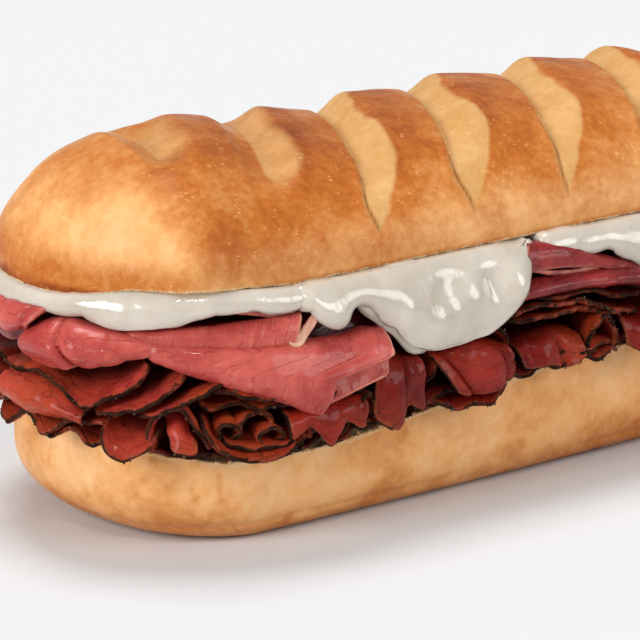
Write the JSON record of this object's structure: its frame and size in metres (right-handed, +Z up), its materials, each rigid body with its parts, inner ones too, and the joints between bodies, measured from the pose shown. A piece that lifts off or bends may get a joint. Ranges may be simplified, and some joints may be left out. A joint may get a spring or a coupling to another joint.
{
  "type": "submarine sandwich",
  "caption": "Long crusty roll with a scored top, filled with folded slices of pink and pepper-rimmed cured beef under melted white cheese that drapes over the side.",
  "frame": {"origin": "centre of the roll's flat base, on the surface it rests on", "axes": "+X along the roll, +Z up, -Y towards the front, where the cheese hangs lowest"},
  "size_m": [0.2225, 0.0997, 0.0871],
  "materials": {
    "crust": "baked golden crust, softly glossy",
    "pastrami": "moist dark red cured beef with a black peppered rim",
    "corned_beef": "moist pink cured beef",
    "melted_cheese": "glossy melted white cheese"
  },
  "bodies": {
    "root": {"bread_bottom": "crust", "bread_top": "crust", "cheese_end": "melted_cheese", "cheese_left": "melted_cheese", "cheese_middle": "melted_cheese", "cheese_right": "melted_cheese", "corned_beef_back_fold_1": "corned_beef", "corned_beef_back_fold_2": "corned_beef", "corned_beef_back_fold_3": "corned_beef", "corned_beef_left_fold": "corned_beef", "corned_beef_lower_cone": "corned_beef", "corned_beef_right_cone": "corned_beef", "corned_beef_right_drape": "corned_beef", "corned_beef_right_end_fold": "corned_beef", "corned_beef_right_face": "corned_beef", "corned_beef_right_fold": "corned_beef", "corned_beef_right_roll": "corned_beef", "corned_beef_rose": "corned_beef", "corned_beef_stack": "corned_beef", "corned_beef_under_cheese": "corned_beef", "corned_beef_upper_cone": "corned_beef", "pastrami_arch": "pastrami", "pastrami_back_ruffle_1": "pastrami", "pastrami_back_ruffle_2": "pastrami", "pastrami_back_ruffle_3": "pastrami", "pastrami_bowl": "pastrami", "pastrami_end_fan": "pastrami", "pastrami_end_ruffle": "pastrami", "pastrami_fan_1": "pastrami", "pastrami_fan_2": "pastrami", "pastrami_fan_3": "pastrami", "pastrami_left_face": "pastrami", "pastrami_left_low": "pastrami", "pastrami_left_tip": "pastrami", "pastrami_middle": "pastrami", "pastrami_middle_curl": "pastrami", "pastrami_middle_low": "pastrami", "pastrami_peppered": "pastrami", "pastrami_right_curl": "pastrami", "pastrami_right_face": "pastrami", "pastrami_right_fan": "pastrami", "pastrami_right_high": "pastrami", "pastrami_right_red": "pastrami", "pastrami_right_ruffle": "pastrami", "pastrami_roll": "pastrami", "pastrami_ruffle": "pastrami", "pastrami_scallop_1": "pastrami", "pastrami_scallop_2": "pastrami", "pastrami_stack": "pastrami"}
  },
  "joints": []
}
